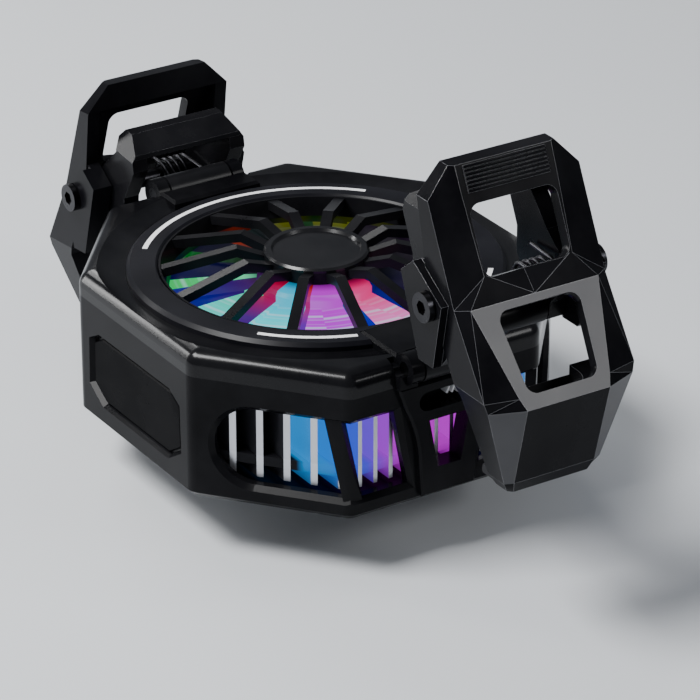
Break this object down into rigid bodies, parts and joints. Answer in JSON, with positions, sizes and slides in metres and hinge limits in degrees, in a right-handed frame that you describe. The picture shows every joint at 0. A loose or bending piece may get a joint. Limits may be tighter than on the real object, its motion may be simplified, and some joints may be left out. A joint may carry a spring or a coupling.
{
  "type": "phone cooling fan",
  "caption": "Clip-on phone cooler: eight-sided body with a lit fan under a spoked grille, a cold plate below and a swinging, sprung clip on each side.",
  "frame": {"origin": "centre of the contact face that lies on the phone's back, on the fan's axis", "axes": "+Z along the fan's axis, away from the phone; +X towards the clip that is drawn raised; +Y towards the USB-C socket"},
  "size_m": [0.1173, 0.058, 0.062],
  "materials": {
    "black_shell": "satin",
    "black_panel": "glossy",
    "black_ring": "satin",
    "white_stripe": "matte",
    "black_grille": "satin",
    "black_clip": "satin",
    "grey_frame": "satin",
    "black_rubber": "matte",
    "steel": "polished",
    "aluminium": "satin",
    "pad_grey": "matte",
    "ceramic": "matte",
    "board": "satin",
    "light_chip": "glossy",
    "fan_plastic": "frosted",
    "fan_base": "satin",
    "bronze": "satin",
    "copper_wire": "satin",
    "magnet": "matte"
  },
  "bodies": {
    "body": {"lower_housing": "black_shell", "top_shell": "black_shell", "bracket_right": "black_shell", "bracket_left": "black_shell", "bottom_cover": "black_shell", "side_panel_front": "black_panel", "side_panel_back": "black_panel", "label_ring": "black_ring", "ring_stripes": "white_stripe", "grille": "black_grille", "hub_cap": "black_grille", "link_pin_right": "steel", "link_pin_left": "steel", "bottom_screws": "steel", "usb_socket": "steel", "heat_sink": "aluminium", "cold_plate": "aluminium", "contact_pad": "pad_grey", "peltier_module": "ceramic", "control_board": "board", "led_board": "board", "led_chips": "light_chip", "fan_frame": "fan_base", "shaft_bearing": "bronze", "stator_coils": "copper_wire"},
    "fan": {"fan_rotor": "fan_plastic", "rotor_magnet": "magnet", "fan_shaft": "steel"},
    "link_right": {"clip_link_right": "black_clip"},
    "frame_right": {"clip_frame_right": "grey_frame", "frame_pin_right": "steel", "lever_pin_right": "steel", "torsion_spring_right": "steel"},
    "lever_right": {"clip_lever_right": "black_clip", "jaw_pad_right": "black_rubber"},
    "link_left": {"clip_link_left": "black_clip"},
    "frame_left": {"clip_frame_left": "grey_frame", "frame_pin_left": "steel", "lever_pin_left": "steel", "torsion_spring_left": "steel"},
    "lever_left": {"clip_lever_left": "black_clip", "jaw_pad_left": "black_rubber"}
  },
  "joints": [
    {"name": "fan_spin", "type": "hinge", "parent": "body", "child": "fan", "pos_m": [0, 0, 0.0183], "axis": [0, 0, 1], "continuous": true},
    {"name": "link_swing_right", "type": "hinge", "parent": "body", "child": "link_right", "pos_m": [0.0326, 0, 0.0219], "axis": [0, -1, 0], "range_deg": [-45, 30]},
    {"name": "frame_tilt_right", "type": "hinge", "parent": "link_right", "child": "frame_right", "pos_m": [0.0433, 0, 0.0321], "axis": [0, -1, 0], "range_deg": [-25, 20]},
    {"name": "lever_clamp_right", "type": "hinge", "parent": "frame_right", "child": "lever_right", "pos_m": [0.0463, 0, 0.0381], "axis": [0, 1, 0], "range_deg": [-8, 35], "stiffness_Nm_per_rad": 0.03},
    {"name": "link_swing_left", "type": "hinge", "parent": "body", "child": "link_left", "pos_m": [-0.0326, 0, 0.0219], "axis": [0, 1, 0], "range_deg": [-3, 60]},
    {"name": "frame_tilt_left", "type": "hinge", "parent": "link_left", "child": "frame_left", "pos_m": [-0.0433, 0, 0.0117], "axis": [0, 1, 0], "range_deg": [-30, 0]},
    {"name": "lever_clamp_left", "type": "hinge", "parent": "frame_left", "child": "lever_left", "pos_m": [-0.04577, 0, 0.01794], "axis": [0, -1, 0], "range_deg": [-13, 30], "stiffness_Nm_per_rad": 0.03}
  ]
}
